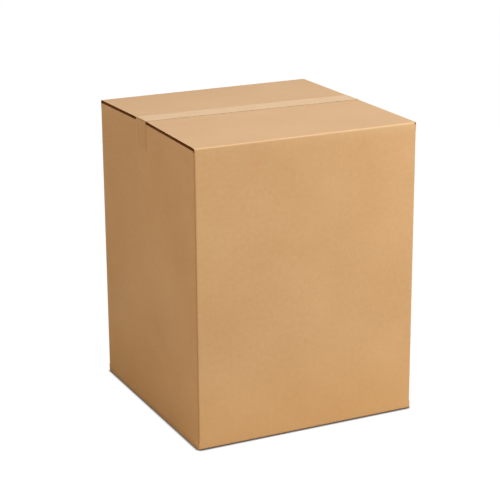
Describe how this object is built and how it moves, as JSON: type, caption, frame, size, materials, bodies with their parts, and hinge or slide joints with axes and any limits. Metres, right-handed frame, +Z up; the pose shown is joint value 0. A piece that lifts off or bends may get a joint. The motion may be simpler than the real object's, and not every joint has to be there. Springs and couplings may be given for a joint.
{
  "type": "cardboard box",
  "caption": "Closed shipping carton of folded double-wall corrugated board, its top flaps sealed with a strip of tape along the seam.",
  "frame": {"origin": "middle of the base, on the surface that the carton stands on", "axes": "+Z up, -Y out of the front wall, X along the taped seam"},
  "size_m": [0.551, 0.55, 0.7005],
  "materials": {
    "kraft_board": "Natural brown kraft liner, matt, with fine fibre flecks and faint upright flute lines",
    "sealing_tape": "Thin pale buff packing tape, slightly see-through, with a low sheen"
  },
  "bodies": {
    "root": {"carton": "kraft_board", "top_tape": "sealing_tape"}
  },
  "joints": []
}
